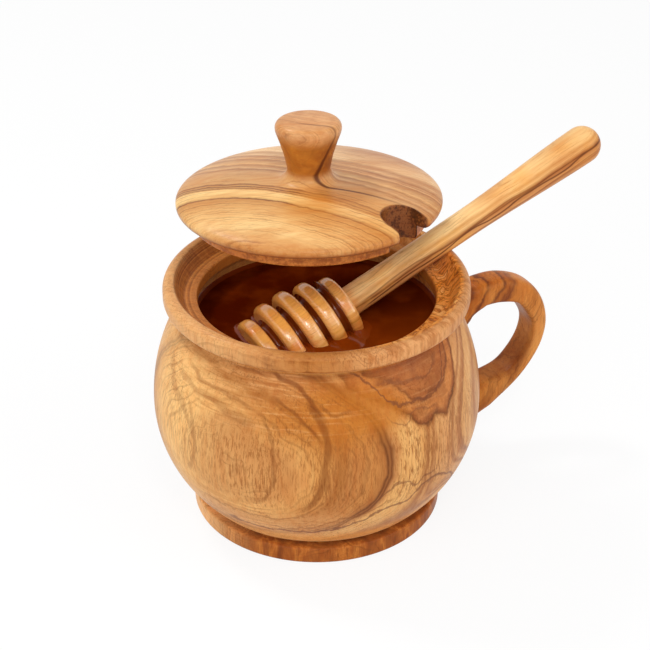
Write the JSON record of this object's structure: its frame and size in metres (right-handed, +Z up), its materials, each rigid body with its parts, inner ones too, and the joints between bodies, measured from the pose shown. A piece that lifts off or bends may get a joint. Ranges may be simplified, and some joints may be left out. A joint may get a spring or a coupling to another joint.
{
  "type": "honey pot",
  "caption": "Turned wooden honey pot with a side handle, a notched lift-off lid held above its mouth, and a ridged dipper lying in the honey.",
  "frame": {"origin": "centre of the foot, on the surface that the pot stands on", "axes": "+Z up along the axis of the turned pot, +X to the viewer's right, -Y toward the viewer; the handle points 27 degrees from +X toward +Y"},
  "size_m": [0.1561, 0.1132, 0.1449],
  "materials": {
    "body_wood": "oiled satin olive wood with swirling grain",
    "handle_wood": "oiled satin olive wood, straight grain",
    "dowel_wood": "plain hardwood dowel",
    "lid_wood": "oiled satin olive wood, streaked across",
    "dipper_wood": "oiled satin olive wood, grain along the stick",
    "honey": "dark clear amber liquid"
  },
  "bodies": {
    "pot": {"pot_body": "body_wood", "pot_handle": "handle_wood", "handle_dowel_upper": "dowel_wood", "handle_dowel_lower": "dowel_wood", "honey": "honey"},
    "lid": {"lid": "lid_wood"},
    "dipper": {"honey_dipper": "dipper_wood"}
  },
  "joints": [
    {"name": "lid_lift", "type": "slide", "parent": "pot", "child": "lid", "axis": [0, 0, 1], "range_m": [0, 0.06]},
    {"name": "dipper_lift", "type": "slide", "parent": "pot", "child": "dipper", "axis": [0.683, -0.183, 0.7071], "range_m": [0, 0.032]}
  ]
}
